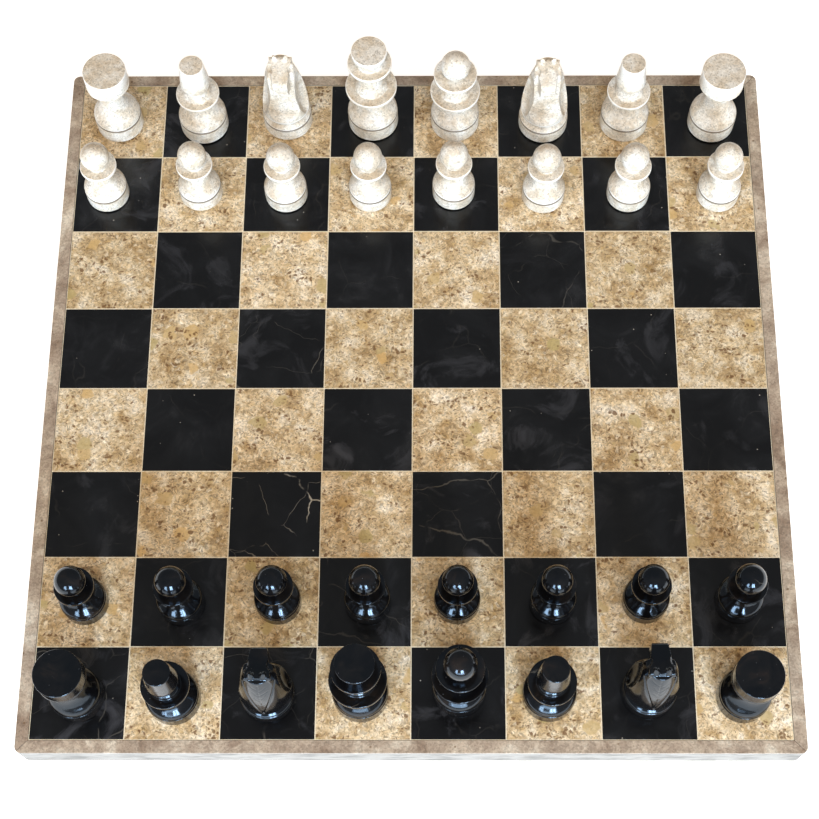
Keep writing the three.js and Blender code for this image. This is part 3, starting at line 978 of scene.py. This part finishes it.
# %% Engrave the neck lines and the mane
def engrave(mesh, path, width, depth):
    """Presses a V-shaped line of that width into the mesh, along a path of points in millimetres."""
    count = len(mesh.vertices)
    places, normals = np.empty(3 * count), np.empty(3 * count)
    mesh.vertices.foreach_get("co", places)
    mesh.vertex_normals.foreach_get("vector", normals)
    places, normals = places.reshape(-1, 3), normals.reshape(-1, 3)
    nearest = np.full(count, np.inf)
    for start, end in zip(path, path[1:]):
        start, end = np.array(start) * MM, np.array(end) * MM
        along = np.clip((places - start) @ (end - start) / np.sum((end - start) ** 2), 0, 1)
        nearest = np.minimum(nearest, np.linalg.norm(places - start - along[:, None] * (end - start), axis=1))
    press = np.clip(1 - nearest / (width * MM / 2), 0, 1)
    places -= normals * (press * depth * MM)[:, None]
    mesh.vertices.foreach_set("co", places.ravel())
    mesh.update()


def bell_radius(height):
    """The bell's radius at a height, by stepping along its sweep."""
    sweep = [BELL[0] + (0,)] + curve(*BELL, 60)
    return min(sweep, key=lambda point: abs(point[1] - height))[0]


def on_back(across, height):
    """A point on the back of the bell."""
    return across, math.sqrt(max(bell_radius(height) ** 2 - across ** 2, 0)), height


chisel = random.Random(7)
for side in (-1, 1):
    engrave(knight_mesh, [(side * 5.9, 1.6, 51.5), (side * 6.2, -3.6, 45), (side * 6.4, -6.4, 37),
                          (side * 7.4, -7.6, 28), (side * 8.6, -8.2, 16.5)], 1.1, 0.45)
    engrave(knight_mesh, [on_back(side * (7.4 - 7.4 * t / 10), 46 - 2.8 * t) for t in range(11)], 1.3, 0.4)
    height = 24.0
    while height < 49:
        reach = min(0.16 * (height - 18), 4.4) * chisel.uniform(0.7, 1.1)
        stroke = [on_back(side * 0.4, height), on_back(side * reach * 0.6, height + 1.4),
                  on_back(side * reach, height + chisel.uniform(2.2, 4.8))]
        engrave(knight_mesh, stroke, 0.9, chisel.uniform(0.04, 0.12))
        height += chisel.uniform(2.6, 6.0)
engrave(knight_mesh, [on_back(chisel.uniform(-0.2, 0.2), 20 + 3 * t) for t in range(11)], 0.9, 0.25)
print("engraved")

# %% [markdown]
# ## Setting the men out
#
# Where each man stands is the design's business, so its place is read from its node: the middle of
# the node's box and the height of its foot. White looks to the near side and Black to the far side,
# which only the knights show. A thin felt disc is glued under every foot. The rims are known from the
# outlines, so each man's mesh is marked near them for a painted highlight, and in the groove and under a
# knight's bell for painted shade, for the finish to read.

# %% Set out the thirty-two men
LARGE_DRUM_TOP = 11
DRUM_TOPS = {"pawn": 9.8, "knight": 9.7}
# Each man's rims, (radius, height) in millimetres, where the highlight is painted.
RIMS = {
    "pawn": [(9.6, 30.1), (11.4, 9.8)],
    "rook": [(11.4, 49), (12.7, 11)],
    "knight": [(RIM, 15.4), (13.3, 9.7)],
    "bishop": [(11.5, 30.6), (6.35, 55), (13, 11)],
    "queen": [(13.3, 31), (11.4, 45.4), (13.1, 11)],
    "king": [(13.7, 33.8), (11.6, 54.2), (9.3, 64), (13.6, 11)],
}


def place_of(node):
    low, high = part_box(node)
    return Vector(((low.x + high.x) / 2, (low.y + high.y) / 2, low.z)), (high.x - low.x) / 2


def mark_groove(mesh, foot_height, drum_top):
    """Tells the finish where the groove over the foot is, to be painted dark as painted shade."""
    layer = mesh.attributes.new("groove", "FLOAT", "POINT")
    root = foot_height + (drum_top - GROOVE / 2) * MM
    for vertex, value in zip(mesh.vertices, layer.data):
        value.value = float(abs(vertex.co.z - root) < (GROOVE / 2 - 0.02) * MM)
    return layer


def mark_waist_shadow(mesh, foot_height):
    """Tells the finish where to paint shadow: in the groove, and under the rim of a knight's bell."""
    layer = mark_groove(mesh, foot_height, DRUM_TOPS["knight"])
    for vertex, value in zip(mesh.vertices, layer.data):
        height = (vertex.co.z - foot_height) / MM
        value.value = max(value.value, min(1, max(0, 1 - abs(height - 13.2) / 1.7)) * 0.6)


def mark_rim_highlights(mesh, foot_at, rims):
    """Tells the finish where to paint the rims' highlight: near each (radius, height) of the list."""
    layer = mesh.attributes.new("rim", "FLOAT", "POINT")
    for vertex, value in zip(mesh.vertices, layer.data):
        away = vertex.co - foot_at
        radius, height = math.hypot(away.x, away.y) / MM, away.z / MM
        value.value = float(any(radius > r - 0.32 and abs(height - z) < 0.7 for r, z in rims))


def set_out(node):
    side, kind = node.split("_")[:2]
    foot_at, foot_radius = place_of(node)
    stone, slot = (CREAM, "cream_stone") if side == "white" else (BLACK, "black_stone")
    body = "lifted_" + node
    where = Matrix.Translation(foot_at)
    if kind == "knight":
        facing = Matrix.Rotation(0 if side == "white" else math.pi, 4, "Z")
        mesh = knight_mesh.copy()
        mesh.transform(where @ facing)
        man = finish_mesh(mesh, node + "_carved", stone, body, [node])
    else:
        shape = spin_outline(OUTLINES[kind])
        bmesh.ops.transform(shape, matrix=where, verts=shape.verts)
        man = finish_piece(shape, node + "_turned", stone, body, [node])
    if kind == "knight":
        mark_waist_shadow(man.data, foot_at.z)
    else:
        mark_groove(man.data, foot_at.z, DRUM_TOPS.get(kind, LARGE_DRUM_TOP))
    mark_rim_highlights(man.data, foot_at, RIMS[kind])
    inset = 1.1 * MM
    felt_disc(node + "_felt", None, body, foot_at.xy, foot_radius - inset, foot_at.z - 0.2 * MM,
              foot_at.z + (FELT_THICK + 0.05) * MM)


men = sorted(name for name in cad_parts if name.startswith(("white_", "black_")))
for node in men:
    set_out(node)
print("men:", len(men))

# %% [markdown]
# ## The studio
#
# The set lies on white paper in front of two tall windows. Cool light that comes in low from Black's
# side burns out the upright fronts of the pale men, leaves the flat tops a calm beige, and draws split
# windows in every black dome. Each window is a pair of tall area lights with a bar of dark between
# them. A low pale wall under the windows reflects in the flanks of the black men, and a warm ceiling
# light, too high to show in the polish, warms everything that faces up. A weak grey sky fills the
# shadows, and the paper glows a little, so that it stays white to the edges.

# %% Lay the paper and hang the lights
PAPER_GLOW = 0.7
PAPER_SIDE = 4
PAPER_MIDDLE = (0, 1.5, 0)


def paper():
    finish, tree, surface, place = new_finish("white_paper")
    fibres = noise(tree, place, 4, 5)
    tree.links.new(ramp(tree, fibres, (0.3, (0.90, 0.90, 0.90)), (0.7, (0.94, 0.94, 0.935))),
                   surface.inputs["Base Color"])
    surface.inputs["Roughness"].default_value = 0.9
    surface.inputs["Emission Color"].default_value = (1, 1, 1, 1)
    surface.inputs["Emission Strength"].default_value = PAPER_GLOW
    return finish


shape = bmesh.new()
bmesh.ops.create_grid(shape, x_segments=1, y_segments=1, size=PAPER_SIDE / 2)
bmesh.ops.translate(shape, vec=PAPER_MIDDLE, verts=shape.verts)
floor_mesh = bpy.data.meshes.new("paper_floor")
shape.to_mesh(floor_mesh)
shape.free()
floor_mesh.materials.append(paper())
floor = bpy.data.objects.new("paper_floor", floor_mesh)
bpy.context.scene.collection.objects.link(floor)


def area_light(name, place, aim, width, height, power, colour):
    data = bpy.data.lights.new(name, "AREA")
    data.shape = "RECTANGLE"
    data.size, data.size_y = width, height
    data.energy = power
    data.color = colour
    lamp = bpy.data.objects.new(name, data)
    lamp.location = place
    lamp.rotation_euler = (Vector(aim) - Vector(place)).to_track_quat("-Z", "Y").to_euler()
    bpy.context.scene.collection.objects.link(lamp)
    return lamp


DAYLIGHT = (0.70, 0.85, 1.0)
LAMPLIGHT = (1.0, 0.67, 0.32)
SKY_GREY = (0.92, 0.96, 1.0, 1)
SKY_STRENGTH = 0.25
PANES = ((-1.15, 15), (-0.85, 15), (0.24, 36), (0.60, 36))
PANE_WIDTH, PANE_HEIGHT = 0.26, 0.95
for number, (across, power) in enumerate(PANES):
    area_light(f"window_pane_{number + 1}", (across, -2.20, 0.92), (across * 0.2, 0, 0.03), PANE_WIDTH,
               PANE_HEIGHT, power, DAYLIGHT)
area_light("low_wall", (0, -1.9, 0.28), (0, 0, 0.03), 1.5, 0.34, 15, DAYLIGHT)
room_light = area_light("room_light", (0, -1.35, 2.5), (0, 0, 0), 3.4, 2.4, 60, LAMPLIGHT)
room_light.visible_glossy = False

world = bpy.data.worlds.new("soft_room")
world.use_nodes = True
world.node_tree.nodes["Background"].inputs["Color"].default_value = SKY_GREY
world.node_tree.nodes["Background"].inputs["Strength"].default_value = SKY_STRENGTH
bpy.context.scene.world = world
bpy.context.scene.view_settings.view_transform = "Standard"
